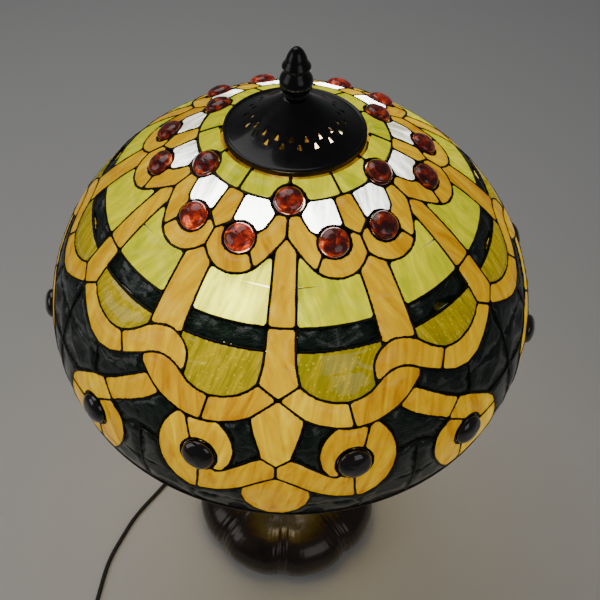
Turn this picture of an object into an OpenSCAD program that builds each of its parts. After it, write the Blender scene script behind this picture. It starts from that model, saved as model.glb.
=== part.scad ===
// Table lamp with a domed shade of leaded art glass on a lobed bronze foot.
// The origin is the middle of the foot on the table, +Z is up, and -Y is the front.

/* [Shade] */
// Height above the table at which the glass begins, under the cap
crown_z = 581.5; // [570:0.5:600]
// Radius of the glass at its top opening
crown_r = 51.7; // [50:0.1:54]
// Length of the glass wall, measured down the dome from top opening to rim
wall_len = 272.5; // [268:0.5:278]
// Slope of the wall below level at the top opening, in degrees
crown_slope = 20; // [18:0.5:22]
// How much steeper the wall gets from top to rim at an even rate, in degrees
even_bend = 48.5; // [46:0.5:50]
// How much steeper it gets on top of that towards the rim, in degrees
rim_bend = 37.5; // [36:0.5:39]
// Thickness of the sheet glass
glass_t = 3; // [2.5:0.1:3.4]
// Width of a soldered seam
seam_w = 5.4; // [4.6:0.1:5.8]
// Thickness of a soldered seam, inside to outside
seam_t = 5; // [4.6:0.1:5.6]
// Radius of the two upper rows of glass jewels
jewel_r = 10.2; // [9.8:0.1:10.4]
// Radius of the large dark jewels
dark_jewel_r = 12.2; // [11.8:0.1:12.4]

/* [Cap and finial] */
// Height of the cap's bell above its rim
bell_h = 27; // [25:0.5:28]
// Number of vent holes in each of the cap's two rings
vents = 18; // [12:1:20]
// Height of the finial
finial_h = 35.4; // [34:0.2:38]

/* [Foot and stem] */
// Radius of the foot at its widest
foot_r = 111; // [108:1:114]
// Height of the lobed part of the foot
foot_h = 68; // [64:1:72]
// Number of lobes round the foot
lobes = 8; // [6:1:10]
// Depth of the fold between two lobes
fold = 7; // [5:0.5:8]

/* [Lighting] */
// Direction of the front bulb round the stem, in degrees
lamp_turn = -15; // [-30:1:0]
// Tilt of each socket away from upright, in degrees
lamp_tilt = 55; // [53:1:57]
// Height of the middle of the socket cluster
cluster_z = 414; 
/* [Cord] */
// Diameter of the cord
cord_d = 5; // [5:0.1:5.2]

/* [Hidden] */
$fn = 96;

bronze = [0.16, 0.10, 0.06];
iron_black = [0.05, 0.05, 0.05];
brass = [0.72, 0.56, 0.28];
solder = [0.12, 0.09, 0.07];
amber = [0.96, 0.72, 0.16];
yellow_green = [0.90, 0.90, 0.40];
opal = [0.97, 0.96, 0.86];
seedy = [0.82, 0.76, 0.20];
dark_green = [0.05, 0.09, 0.06];
ruby = [0.72, 0.16, 0.08];
rubber_black = [0.04, 0.04, 0.04];

// ---- The dome: a wall of revolution whose slope follows a formula ----

// Slope below level, in degrees, at a distance down the wall
function slope(s) = let (u = s / wall_len) crown_slope + even_bend * u + rim_bend * pow(u, 3);

wall_steps = 60;
wall_step = wall_len / wall_steps;
wall = [
  for (
    i = 0, r = crown_r, z = crown_z;
    i <= wall_steps;
    r = r + wall_step * cos(slope((i + 0.5) * wall_step)),
    z = z - wall_step * sin(slope((i + 0.5) * wall_step)),
    i = i + 1
  ) [i * wall_step, r, z]
];
wall_r = [for (w = wall) [w[0], w[1]]];
wall_z = [for (w = wall) [w[0], w[2]]];

// A place on the wall is [azimuth in degrees from the front, distance down the wall]
function at(q) =
  let (r = lookup(q[1], wall_r))
  [r * sin(q[0]), -r * cos(q[0]), lookup(q[1], wall_z)];
function outward(q) =
  [sin(slope(q[1])) * sin(q[0]), -sin(slope(q[1])) * cos(q[0]), cos(slope(q[1]))];
function eastward(q) = [cos(q[0]), sin(q[0]), 0];
function upslope(q) = cross(outward(q), eastward(q));
// Millimetres in one degree of azimuth, at a distance down the wall
function per_degree(s) = lookup(s, wall_r) * PI / 180;

function unit(v) = v / norm(v);
function rev(list) = [for (i = [len(list) - 1:-1:0]) list[i]];
function middle_of(list) = [for (p = list) 1] * list / len(list);
// An outline without the points that lie closer than a gap to the one after them
function spaced(q, gap) = [
  for (i = [0:len(q) - 1]) if (norm(q[i] - q[(i + 1) % len(q)]) > gap) q[i]
];
function mirrored(q, side) = [for (p = q) [side * p[0], p[1]]];
function turned(q, angle) = [for (p = q) [p[0] + angle, p[1]]];
// Points round a jewel on the wall, by clock angle from its upper side
function round_jewel(middle, r, from, to, steps) = [
  for (i = [0:steps])
    let (t = from + (to - from) * i / steps)
    [middle[0] + r * sin(t) / per_degree(middle[1]), middle[1] - r * cos(t)]
];

// ---- The pattern: seam lines, shared by the glass on both sides of them ----
// Everything down to the ripple band repeats every 60 degrees and is mirrored in each bar.
// Below it, one sector runs from a full crossing at 0 to a high crossing at 60 degrees.

glass_top = 3;
glass_foot = 270.5;
ring_s = 20;
break_s = 106.2;
band_s = 121.8;
bar_step = 60;

top_jewel = [0, 19.3];
mid_jewel = [18.7, 51];
c_jewel = [15.8, 207];
d_jewel = [43.3, 224];
setting_r = 11.7;
setting_w = 2.6;
dark_setting_r = 13.7;

function top_arc(from, to, steps) = round_jewel(top_jewel, setting_r, from, to, steps);
function mid_arc(from, to, steps) = round_jewel(mid_jewel, setting_r, from, to, steps);
function c_arc(from, to, steps) = round_jewel(c_jewel, dark_setting_r, from, to, steps);
function d_arc(from, to, steps) = round_jewel(d_jewel, dark_setting_r, from, to, steps);

// Upper zone
wedge_side = [[24.6, ring_s], [24.6, 42.5]];
wedge_point = [[24.6, 42.5], [30, 50.5]];
arm_top = [[9.5, 41.5], [7.2, 34.5]];
chevron = [[0, 45.5], [4.2, 55.4]];
arm_foot = [[4.2, 55.4], [7, 62], [10.6, 69.8]];
swag_foot = [[10.6, 69.8], [14, 74], [18.5, 76], [22.5, 75], [24.8, 72.9]];
gable = [[24.8, 72.9], [27.4, 69.2], [30, 63.5]];
tall_bar_side = [[4.2, 55.4], [3.9, 80], [3.8, break_s]];
short_bar_side = [[24.8, 72.9], [25.1, 90], [25.2, break_s]];
low_bar_side = [[3.8, break_s], [3.7, band_s]];
band_side = [[25.2, break_s], [25.3, band_s]];

// Lower zone: seedy panels, bars and the two ribbons
x_bar_side = [[3.7, band_s], [4, 134], [4.8, 144.3]];
x_bar_point = [[4.8, 144.3], [0, 154.3]];
x_bowl = [[4.8, 144.3], [6.5, 149.5], [9, 154], [12, 157], [15.3, 158.2]];
x_bowl_up = [[15.3, 158.2], [18, 156.8], [20.5, 153.8], [22, 150.3]];
hump_up = [[22, 150.3], [22, 141], [22.5, 134.5], [23.8, 129.3], [25.3, 126.4]];
hump_top = [[25.3, 126.4], [27, 124.3], [29, 123.7], [32, 125.7], [34.6, 129.8]];
hump_down = [[34.6, 129.8], [36.3, 134.5], [38.6, 140.4], [41.2, 145.2]];
y_bowl = [[41.2, 145.2], [43.5, 146.8], [46, 147.3], [50, 145.3], [53.5, 141], [56.1, 136]];
y_bar_side = [[56.3, band_s], [56.2, 130], [56.1, 136]];
y_bar_point = [[56.1, 136], [60, 146]];
ribbon1_break = [[41.2, 145.2], [38.4, 159]];
ribbon1_foot = [[60, 146], [56.8, 152.5], [53.5, 158.7], [50, 164.4], [46, 167], [42, 164.8], [38.4, 159]];
ribbon1_tail = [[38.4, 159], [35.8, 154.2], [33.3, 149.8]];
ribbon2_top = [[22, 150.3], [24.8, 144.9], [27.9, 142.9], [30.8, 145], [33.3, 149.8]];
ribbon2_break = [[15.3, 158.2], [16.3, 177.8]];
shield_top = [[0, 154.3], [3.2, 162], [5.8, 168.5]];
ribbon2_foot = [[5.8, 168.5], [8.6, 172.6], [12.3, 176]];
ribbon2_under = [[12.3, 176], [16.3, 177.8], [19.5, 177], [21.4, 175.6]];
ribbon2_side = [[21.4, 175.6], [24, 172.8], [26.2, 169.8]];
link_top = [[26.2, 169.8], [28.6, 165.2], [30.7, 160]];
ribbon2_end = [[30.7, 160], [32.7, 154.8], [33.3, 149.8]];
link_upper = [[30.7, 160], [34.6, 169.6], [38.1, 178.6], [41.4, 186]];
link_lower = [[26.2, 169.8], [28.6, 177.5], [32.3, 186.5], [37.6, 199.5]];
link_break = [[41.4, 186], [37.6, 199.5]];

// Lower zone: shield, lower ribbons, drop and scrolls
shield_side = [[5.8, 168.5], [5, 179], [4.1, 188], [3.2, 199.2]];
shield_point = [[3.2, 199.2], [0, 206.8]];
lower_top = [[3.2, 199.2], [5, 203.2], [7.6, 209], [10.7, 217]];
lower_foot = [[16.5, 245.8], [12, 241], [9, 236], [6.8, 231.5]];
drop_top = [[0, 217.3], [3.3, 223], [6.8, 231.5]];
drop_side = [[6.8, 231.5], [7.1, 240], [6.3, 250.5], [4.7, 260], [1.6, glass_foot]];
c_left = [[12.3, 176], [10, 183.5], [8.9, 191], [8.6, 199.5], [9.2, 209], [10.7, 217]];
c_right = [
  [21.4, 175.6], [23, 182.5], [24.2, 190], [24.9, 199.5], [24.9, 209], [24.2, 220],
  [22.8, 230.5], [20.9, 239], [18, 245.6],
];
c_seam = concat([[18, 245.6], [16.5, 245.8], [16, 233]], [c_arc(180, 180, 1)[0]]);
c_split = concat([[19.5, 177]], [c_arc(32, 32, 1)[0]]);
d_left = [
  [37.6, 199.5], [35.4, 206], [34.3, 213], [33.8, 222], [34.2, 232], [35.5, 243], [37.3, 254],
  [39.3, 264], [40.9, glass_foot],
];
d_upper = [[41.4, 186], [44.5, 190.8], [47.5, 197.8], [50.4, 205.5], [52.2, 213], [53.1, 222.5]];
d_outer = [[53.1, 222.5], [53.8, 233], [54.3, 245], [54, 256], [52.6, 265], [51.2, glass_foot]];
d_split = concat([[37.6, 199.5], [40, 204.8]], [d_arc(345, 345, 1)[0]]);
d_break = concat([[53.1, 222.5]], [d_arc(84, 84, 1)[0]]);
d_seam = concat([d_arc(200, 200, 1)[0]], [[42.3, 247], [43, 258], [43.7, glass_foot]]);

// Seams that divide the dark ground
arch = [[24.9, 209], [27, 205.8], [29.6, 204.5], [32, 206.3], [34.3, 213]];
ground_c = [[18, 245.6], [18.2, glass_foot]];
ground_b = [[29.6, 204.5], [29.3, 238], [29, glass_foot]];
ground_y = [[46, 167], [45.4, 179], [44.5, 190.8]];
ground_d = [[50.4, 205.5], [60, 205]];
ground_axis = [[60, 146], [60, 176], [60, 205], [60, 238], [60, glass_foot]];

// ---- Building the wall from the pattern ----

edge_gap = 0.8;
facet_lap = 0.3;
shortest_edge = 1.9;
seam_in = glass_t / 2 + 0.2;
band_seam_w = 3;
band_seam_t = 4.2;
tallest_facet = 34;

// Moves the sides of a flat outline inwards by a gap, with mitred corners
function inset(p, gap) =
  let (
    n = len(p),
    area = [for (i = [0:n - 1]) p[i][0] * p[(i + 1) % n][1] - p[(i + 1) % n][0] * p[i][1]],
    way = area * [for (i = [0:n - 1]) 1] > 0 ? 1 : -1
  )
  [
    for (i = [0:n - 1])
      let (
        a = unit(p[i] - p[(i + n - 1) % n]),
        b = unit(p[(i + 1) % n] - p[i]),
        inward_a = way * [-a[1], a[0]],
        inward_b = way * [-b[1], b[0]]
      )
      p[i] + gap * (inward_a + inward_b) / max(0.35, 1 + inward_a * inward_b)
  ];

// The part of an outline that lies between two distances down the wall
function below(q, s) = clipped(q, s, 1);
function above(q, s) = clipped(q, s, -1);
function clipped(q, s, way) = [
  for (i = [0:len(q) - 1])
    let (
      p = q[i],
      next = q[(i + 1) % len(q)],
      in_p = way * (p[1] - s) >= 0,
      in_next = way * (next[1] - s) >= 0,
      crossing = in_p != in_next ? p + (next - p) * (s - p[1]) / (next[1] - p[1]) : p
    )
    each in_p ? (in_p != in_next && norm(crossing - p) > 0.01 ? [p, crossing] : [p])
      : (in_next && norm(crossing - next) > 0.01 ? [crossing] : [])
];

// One flat facet of glass on the tangent plane at the middle of its outline
module facet(q, gap) {
  middle = middle_of(q);
  corners = [for (p = q) at(p)];
  place = middle_of(corners);
  e = eastward(middle);
  u = upslope(middle);
  n = outward(middle);
  flat = spaced([for (c = corners) [(c - place) * e, (c - place) * u]], shortest_edge);
  multmatrix([
    [e[0], u[0], n[0], place[0]],
    [e[1], u[1], n[1], place[1]],
    [e[2], u[2], n[2], place[2]],
  ])
    linear_extrude(glass_t, center = true)
      polygon(inset(flat, gap));
}

// One piece of glass. A tall piece is bent, in facets, to follow the wall
module glass(outline) {
  q = spaced(outline, 0.05);
  top = min([for (p = q) p[1]]);
  foot = max([for (p = q) p[1]]);
  bends = ceil((foot - top) / tallest_facet);
  step = (foot - top) / bends;
  if (bends == 1) facet(q, edge_gap);
  else
    for (i = [0:bends - 1])
      facet(
        above(below(q, i == 0 ? top - 1 : top + i * step - facet_lap - edge_gap),
              i == bends - 1 ? foot + 1 : top + (i + 1) * step + facet_lap + edge_gap),
        edge_gap
      );
}

// A piece beside a bar, on both sides of all six bars
module each_side(q) for (k = [0:5], side = [1, -1]) glass(turned(mirrored(q, side), k * bar_step));
// A piece that is its own mirror image, given by its right half
module each_bar(q) for (k = [0:5]) glass(turned(concat(q, rev(mirrored(q, -1))), k * bar_step));
// A piece of the lower sector, on both sides of the three full crossings
module each_sector(q) for (k = [0:2], side = [1, -1]) glass(turned(mirrored(q, side), k * 120));
// A piece across the middle of a full crossing (first = 0) or a high crossing (first = 60)
module each_crossing(q, first)
  for (k = [0:2]) glass(turned(concat(q, rev(mirrored(q, -1))), k * 120 + first));

// Three corners of a seam where it passes one point of its line: a broad foot inside, a crest outside
function seam_corners(line, i, w) =
  let (
    here = at(line[i]),
    n = outward(line[i]),
    ahead = at(line[min(i + 1, len(line) - 1)]) - at(line[max(i - 1, 0)]),
    b = unit(cross(n, ahead)) * w / 2
  )
  [here - b - n * seam_in, here + b - n * seam_in, here + n * (seam_t - seam_in)];

prism_faces = [[2, 1, 0], [3, 4, 5], [0, 1, 4, 3], [1, 2, 5, 4], [2, 0, 3, 5]];

// One line from lines that each start where the one before ends
function joined(parts) = [parts[0][0], for (p = parts, i = [1:len(p) - 1]) p[i]];
module seam(line)
  for (i = [0:len(line) - 2])
    hull()
      polyhedron(
        points = concat(seam_corners(line, i, seam_w), seam_corners(line, i + 1, seam_w)),
        faces = prism_faces
      );

module seams_each_side(lines)
  for (k = [0:5], side = [1, -1], line = lines) seam(turned(mirrored(line, side), k * bar_step));
module seams_each_bar(lines) for (k = [0:5], line = lines) seam(turned(line, k * bar_step));
module seams_each_sector(lines)
  for (k = [0:2], side = [1, -1], line = lines) seam(turned(mirrored(line, side), k * 120));

module upper_seams() color(solder) {
  seams_each_side([
    [[9.6, ring_s], [17, ring_s], [24.6, ring_s], [30, ring_s]],
    joined([wedge_side, wedge_point]), arm_top, joined([chevron, arm_foot, swag_foot, gable]),
    [arm_top[0], mid_arc(-62, -62, 1)[0]], [arm_top[1], top_arc(145, 145, 1)[0]],
    [arm_foot[2], mid_arc(-130, -130, 1)[0]],
    joined([tall_bar_side, low_bar_side]), joined([short_bar_side, band_side]),
  ]);
  seams_each_bar([
    [[0, 0.5], [0, 8]], [[30, 0.5], [30, ring_s]], [[0, 30.8], [0, 45.5]], [[30, 50.5], [30, 63.5]],
  ]);
}

module lower_seams() color(solder) {
  seams_each_sector([
    joined([x_bar_side, x_bar_point]), joined([x_bowl, x_bowl_up, ribbon2_top]),
    joined([hump_up, hump_top, hump_down, y_bowl]), joined([y_bar_side, y_bar_point]),
    joined([ribbon1_foot, ribbon1_tail]), ribbon1_break, ribbon2_break,
    joined([shield_top, ribbon2_foot, ribbon2_under, ribbon2_side, link_top, ribbon2_end]),
    joined([link_upper, d_upper, d_outer]), joined([link_lower, d_left]), link_break,
    joined([shield_side, lower_top]), shield_point, lower_foot, joined([drop_top, drop_side]),
    c_left, c_right, c_seam, c_split, d_split, d_break, d_seam,
    arch, ground_c, ground_b, ground_y, ground_d,
    [[34.6, 129.8], [34.7, band_s]], [[25.3, 126.4], [25.3, band_s]], [[10.7, 217], [12.6, 219.2]],
  ]);
  for (k = [0:2]) {
    seam(turned([[0, 206.8], [0, 217.3]], k * 120));
    seam(turned(ground_axis, k * 120));
  }
}

// A level seam, turned from one azimuth to another
module level_seam(s, from, to)
  rotate(from - 90) rotate_extrude(angle = to - from)
    translate([lookup(s, wall_r), lookup(s, wall_z)]) rotate(-slope(s))
      translate([-band_seam_w / 2, -seam_in]) square([band_seam_w, band_seam_t]);
module band_seams() color(solder)
  for (k = [0:5]) {
    level_seam(break_s, k * bar_step - 25.2, k * bar_step + 25.2);
    level_seam(band_s, k * bar_step + 3.7, k * bar_step + 25.3);
    level_seam(band_s, k * bar_step - 25.3, k * bar_step - 3.7);
  }

// ---- Glass, kind by kind ----

module crown_glass() color(yellow_green)
  each_side(concat([[0, glass_top], [15, glass_top], [30, glass_top], [30, ring_s]], top_arc(87, 0, 4)));
module opal_glass() color(opal)
  each_side(concat([wedge_side[0]], mid_arc(58, -62, 5), arm_top, top_arc(145, 93, 3)));
module wedge_glass() color(amber)
  for (k = [0:5])
    glass(turned([[24.6, 20], [24.6, 42.5], [30, 50.5], [35.4, 42.5], [35.4, 20]], k * bar_step));
module chevron_glass() color(amber)
  each_side(concat(chevron, [arm_foot[1], arm_foot[2]], mid_arc(-130, -62, 3), arm_top,
                   top_arc(145, 180, 2)));
module swag_glass() color(amber)
  each_side(concat([for (i = [0:3]) swag_foot[i]], gable, [[30, 50.5], [26.4, 45.4]],
                   mid_arc(68, 230, 8)));
module tall_bar_glass() color(amber) {
  each_bar(concat(chevron, [tall_bar_side[1], tall_bar_side[2]]));
  each_crossing(concat(low_bar_side, [x_bar_side[1], x_bar_side[2], x_bar_point[1]]), 0);
  each_crossing([[3.8, break_s], [3.7, band_s], [3.8, 130], [3.9, 136], [0, 146]], 60);
}
module short_bar_glass() color(amber)
  each_sector(concat(rev(gable), [short_bar_side[1], short_bar_side[2], band_side[1]], hump_top,
                     [[34.7, band_s], [34.8, break_s], [34.9, 90], [35.2, 72.9], [32.6, 69.2]]));
module panel_glass() color(yellow_green)
  each_side(concat(arm_foot, [for (i = [1:4]) swag_foot[i]], [short_bar_side[1], short_bar_side[2]],
                   [tall_bar_side[2], tall_bar_side[1]]));
module ripple_band_glass() color(dark_green)
  each_side([[3.8, break_s], [25.2, break_s], [25.3, band_s], [3.7, band_s]]);
module seedy_glass() color(seedy) {
  each_sector(concat([[3.7, band_s], [25.3, band_s]], rev(hump_up), rev(x_bowl_up), rev(x_bowl),
                     [x_bar_side[1]]));
  each_sector(concat([[34.7, band_s], [56.3, band_s], [56.2, 130]], rev(y_bowl), rev(hump_down)));
}
module ribbon_glass() color(amber) {
  each_sector(concat(x_bar_point, [shield_top[1]], ribbon2_foot, [[16.3, 177.8]], rev(x_bowl)));
  each_sector(concat(x_bowl_up, ribbon2_top, rev(ribbon2_end), rev(link_top), rev(ribbon2_side),
                     [ribbon2_under[2], ribbon2_under[1]]));
  each_sector(concat(hump_up, hump_top, hump_down, ribbon1_tail, rev(ribbon2_top)));
  each_sector(concat(y_bowl, ribbon1_foot));
}
module link_glass() color(amber)
  each_sector(concat(link_upper, rev(link_lower), [link_top[1]]));
module scroll_glass() color(amber) {
  each_sector(concat(rev([for (i = [0:2]) ribbon2_under[i]]), c_left, c_arc(208, 392, 9)));
  each_sector(concat(c_right, [[16.5, 245.8], [16, 233]], c_arc(180, 32, 8), [[19.5, 177]]));
  each_sector(concat(d_upper, d_arc(84, -15, 5), [[40, 204.8], [37.6, 199.5]]));
  each_sector(concat(d_left, [[43.7, 270.5], [43, 258], [42.3, 247]], d_arc(200, 345, 7), [[40, 204.8]]));
  each_sector(concat(d_outer, [[43.7, 270.5], [43, 258], [42.3, 247]], d_arc(200, 84, 6)));
}
module lower_ribbon_glass() color(amber)
  each_sector(concat([[0, 206.8]], lower_top, c_arc(208, 180, 2), [[16, 233]], lower_foot,
                     [[3.3, 223], [0, 217.3]]));
module shield_glass() color(amber)
  each_crossing(concat(shield_top, [shield_side[1], shield_side[2]], shield_point), 0);
module drop_glass() color(amber) each_crossing(concat(drop_top, [for (i = [1:4]) drop_side[i]]), 0);
module ground_glass() color(dark_green) {
  each_sector(concat(ribbon2_foot, c_left, rev(lower_top), [[4.1, 188], [5, 179]]));
  each_sector(concat([[21.4, 175.6]], ribbon2_side, link_lower, [[35.4, 206]], rev(arch),
                     [c_right[3], c_right[2], c_right[1]]));
  each_sector(concat([arch[0], arch[1]], ground_b, rev(ground_c),
                     [c_right[7], c_right[6], c_right[5]]));
  each_sector(concat([arch[2], arch[3], arch[4]], [for (i = [3:8]) d_left[i]],
                     [[29, 270.5], [29.3, 238]]));
  each_sector(concat(drop_side, [[18.2, 270.5], [18, 245.6]], lower_foot));
  each_sector(concat(rev(ribbon1_tail), [[42, 164.8]], ground_y, rev(link_upper), [[32.7, 154.8]]));
  each_sector(concat([for (i = [0:4]) ribbon1_foot[i]], ground_y, [[47.5, 197.8]], ground_d,
                     [[60, 176]]));
  each_sector(concat([ground_d[1], [60, 238], [60, 270.5]], rev(d_outer), [[52.2, 213], [50.4, 205.5]]));
}

// ---- Jewels: round cabochons, flat behind and domed in front ----

module on_wall(q) {
  place = at(q);
  e = eastward(q);
  u = upslope(q);
  n = outward(q);
  multmatrix([
    [e[0], u[0], n[0], place[0]],
    [e[1], u[1], n[1], place[1]],
    [e[2], u[2], n[2], place[2]],
  ])
    children();
}
girdle = 2;
module cabochon(q, r, bulge) {
  ball = (r * r + bulge * bulge) / (2 * bulge);
  on_wall(q) {
    translate([0, 0, -girdle]) cylinder(r = r, h = 2 * girdle);
    intersection() {
      translate([0, 0, girdle]) cylinder(r = r, h = bulge);
      translate([0, 0, girdle + bulge - ball]) sphere(r = ball);
    }
  }
}
// Soldered ring that holds one jewel
module setting(q, r) on_wall(q) difference() {
  translate([0, 0, -2.6]) cylinder(r = r + setting_w / 2, h = 5);
  translate([0, 0, -4]) cylinder(r = r - setting_w / 2, h = 8);
}
module jewel_settings() color(solder) {
  for (k = [0:5]) setting([k * bar_step, top_jewel[1]], setting_r);
  for (k = [0:5], side = [1, -1]) setting([k * bar_step + side * mid_jewel[0], mid_jewel[1]], setting_r);
  for (k = [0:2], side = [1, -1], q = [c_jewel, d_jewel])
    setting([k * 120 + side * q[0], q[1]], dark_setting_r);
}
module top_jewels() color(ruby) for (k = [0:5]) cabochon([k * bar_step, top_jewel[1]], jewel_r - 0.3, 5);
module middle_jewels() color(ruby)
  for (k = [0:5], side = [1, -1]) cabochon([k * bar_step + side * mid_jewel[0], mid_jewel[1]], jewel_r, 5);
module dark_jewels() color(dark_green)
  for (k = [0:2], side = [1, -1], q = [c_jewel, d_jewel])
    cabochon([k * 120 + side * q[0], q[1]], dark_jewel_r, 6);

// ---- Shade metalwork ----

rod_r = 5;
turning_bore = rod_r + 0.05;
loose_bore = rod_r + 0.4;
body_gap = 0.3;
cap_z = crown_z + 2.5;
seat_z = crown_z - 12;
ring_foot = crown_z - 7;

module washer(r, bore, h) difference() {
  cylinder(r = r, h = h);
  translate([0, 0, -1]) cylinder(r = bore, h = h + 2);
}
module hex_nut(across, bore, h) difference() {
  cylinder(r = across / sqrt(3), h = h, $fn = 6);
  translate([0, 0, -1]) cylinder(r = bore, h = h + 2);
}

module top_ring() color(brass) translate([0, 0, ring_foot]) washer(crown_r + 0.7, crown_r - 4, 6.4);
module spider() color(brass) difference() {
  union() {
    translate([0, 0, seat_z + body_gap]) cylinder(r = 10, h = 9);
    for (a = [30, 150, 270])
      rotate(a) translate([6, -4, ring_foot]) cube([crown_r - 9, 8, 3]);
  }
  translate([0, 0, seat_z - 1]) cylinder(r = turning_bore, h = 20);
}
module seat_nut() color(brass) {
  translate([0, 0, seat_z - 3]) washer(12, loose_bore, 3);
  translate([0, 0, seat_z - 9]) hex_nut(17, loose_bore, 6);
}
module rim_band() color(solder)
  rotate_extrude() translate([lookup(wall_len, wall_r), lookup(wall_len, wall_z)]) circle(r = 2.6, $fn = 32);

// Height of the cap's outer face above its rim, bell and flange in one curve
function bell(r) = bell_h * pow(max(0, (crown_r - r) / (crown_r - 8)), 1.25);
cap_t = 1.6;
cap_profile = concat(
  [for (r = [8, 12, 17, 22, 26, 30, 35, 40, 45, 50]) [r, bell(r)]],
  [[50.6, 1.4], [52.2, 1.4], [52.8, 0.7], [52.4, -0.2], [50.4, -0.2]],
  [for (r = [50, 45, 40, 35, 30, 26, 22, 17, 12, 8]) [r, bell(r) - cap_t]]
);
vent_outer = 34.8;
vent_inner = 30.2;
module vent(r, angle, size)
  rotate(angle) translate([r, 0, 0]) linear_extrude(20)
    polygon([[-0.5 * size, -0.34 * size], [0.5 * size, -0.62 * size], [0.5 * size, 0.62 * size],
             [-0.5 * size, 0.34 * size]]);
module vent_cap() color(iron_black) translate([0, 0, cap_z]) difference() {
  union() {
    rotate_extrude() polygon(cap_profile);
    translate([0, 0, bell_h - cap_t]) cylinder(r = 9, h = cap_t);
  }
  translate([0, 0, bell_h - 5]) cylinder(r = loose_bore, h = 10);
  for (i = [0:vents - 1]) {
    vent(vent_outer, 360 / vents * i + 278, 3.6);
    vent(vent_inner, 360 / vents * (i + 0.5) + 278, 3.2);
  }
}

// Turned acorn on a bulb, with a blind bore for the rod's thread
finial_z = cap_z + bell_h + body_gap;
finial_profile = [
  [0, 0], [8.6, 0], [8.2, 2.5], [10.4, 4.5], [11.6, 7.5], [11.9, 10.5], [11, 14], [9, 17],
  [8, 18.6], [9.3, 20], [10, 21.4], [9.5, 23], [7.9, 25.4], [6.6, 29], [4.6, 32.6], [2.4, 34.8], [0, finial_h],
];
module finial() color(iron_black) difference() {
  translate([0, 0, finial_z]) rotate_extrude() polygon(finial_profile);
  translate([0, 0, finial_z - 1]) cylinder(r = turning_bore, h = 16);
}

// ---- Stem, cluster and lamps ----

rod_top = finial_z + 13;
cluster_arm = 20;
nut_seat = 16.5;
stem_top = cluster_z - 20;
stem_foot = foot_h;

module threaded_rod() color(brass) translate([0, 0, 8]) washer(rod_r, 3.5, rod_top - 8);
module cluster_nut() color(brass) translate([0, 0, cluster_z + nut_seat]) hex_nut(16, loose_bore, 5);
module stem() color(bronze) difference() {
  rotate_extrude()
    polygon([
      [0, stem_foot], [34, stem_foot], [30, stem_foot + 6], [20, stem_foot + 14], [15, stem_foot + 30],
      [12.5, stem_foot + 60], [12, 200], [13, 260], [16, 310], [20, 340], [22, 358], [19, 372],
      [13, 382], [16, stem_top - 5], [16, stem_top], [0, stem_top],
    ]);
  translate([0, 0, stem_foot - 1]) cylinder(r = loose_bore, h = stem_top);
}
module stem_collar() color(bronze) translate([0, 0, stem_top]) washer(19, loose_bore, 4);

module on_lamp(back) translate([0, 0, cluster_z]) rotate([0, 0, lamp_turn + back * 180])
  rotate([lamp_tilt, 0, 0]) children();

module cluster_hub() color(brass) difference() {
  union() {
    translate([0, 0, cluster_z - 16]) cylinder(r1 = 15, r2 = 20, h = 8);
    translate([0, 0, cluster_z - 8]) cylinder(r = 20, h = 18);
    translate([0, 0, cluster_z + 10]) cylinder(r1 = 20, r2 = 9, h = nut_seat - 10);
    for (back = [0, 1]) on_lamp(back) cylinder(r = 11, h = cluster_arm + 6);
  }
  translate([0, 0, cluster_z - 20]) cylinder(r = loose_bore, h = 50);
  translate([0, 0, cluster_z + nut_seat]) cylinder(r = 10, h = 20);
  for (back = [0, 1]) on_lamp(back) translate([0, 0, cluster_arm + 4]) cylinder(r = 30, h = 10);
}

socket_r = 18;
socket_len = 36;
chain_out = 44;
chain_top = cluster_z + 6;
module socket(back) color(brass) difference() {
  union() {
    on_lamp(back) translate([0, 0, cluster_arm + 4]) cylinder(r1 = 12, r2 = socket_r, h = 6);
    on_lamp(back) translate([0, 0, cluster_arm + 10]) cylinder(r = socket_r, h = socket_len);
    rotate(lamp_turn + back * 180) translate([0, -chain_out, chain_top - 10]) cylinder(r = 4, h = 14.5);
  }
  on_lamp(back) translate([0, 0, cluster_arm + 16]) cylinder(r = socket_r - 3, h = socket_len);
  rotate(lamp_turn + back * 180) translate([0, -chain_out, chain_top - 14])
    cylinder(r = 2.2, h = 14 + body_gap);
}
module socket_front() socket(0);
module socket_back() socket(1);

bulb_r = 30;
base_r = 13;
bulb_profile = [
  [0, 58], [13.5, 58], [14.5, 66], [18, 78], [24, 91], [28.5, 103], [30, 115], [28.8, 126],
  [25, 135.5], [18, 142.5], [9, 146.5], [0, 147.5],
];
module bulb(back) color([1, 0.93, 0.75]) on_lamp(back) rotate_extrude() polygon(bulb_profile);
module bulb_base(back) color([0.8, 0.8, 0.78]) on_lamp(back) {
  translate([0, 0, 38]) cylinder(r = base_r, h = 20);
  translate([0, 0, 36]) cylinder(r1 = 5, r2 = base_r, h = 2);
}
module bulb_front() bulb(0);
module bulb_back() bulb(1);
module bulb_base_front() bulb_base(0);
module bulb_base_back() bulb_base(1);

bead_r = 1.6;
bead_gap = 4;
beads = 17;
module pull_chain(back) color(brass) rotate(lamp_turn + back * 180) translate([0, -chain_out, 0]) {
  for (i = [0:beads - 1]) translate([0, 0, chain_top - bead_r - i * bead_gap]) sphere(r = bead_r);
  translate([0, 0, chain_top - bead_r - (beads - 1) * bead_gap])
    cylinder(r = 0.6, h = (beads - 1) * bead_gap);
}
bob_top = chain_top - 2 * bead_r - (beads - 1) * bead_gap;
module pull_bob(back) color(brass) rotate(lamp_turn + back * 180) translate([0, -chain_out, bob_top - 18])
  rotate_extrude()
    polygon([[0, 0], [3.6, 0], [4.6, 1.5], [4.4, 5], [3.2, 10], [2.2, 15], [1.8, 18], [0, 18]]);
module pull_chain_front() pull_chain(0);
module pull_chain_back() pull_chain(1);
module pull_bob_front() pull_bob(0);
module pull_bob_back() pull_bob(1);

// ---- Foot ----

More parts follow.
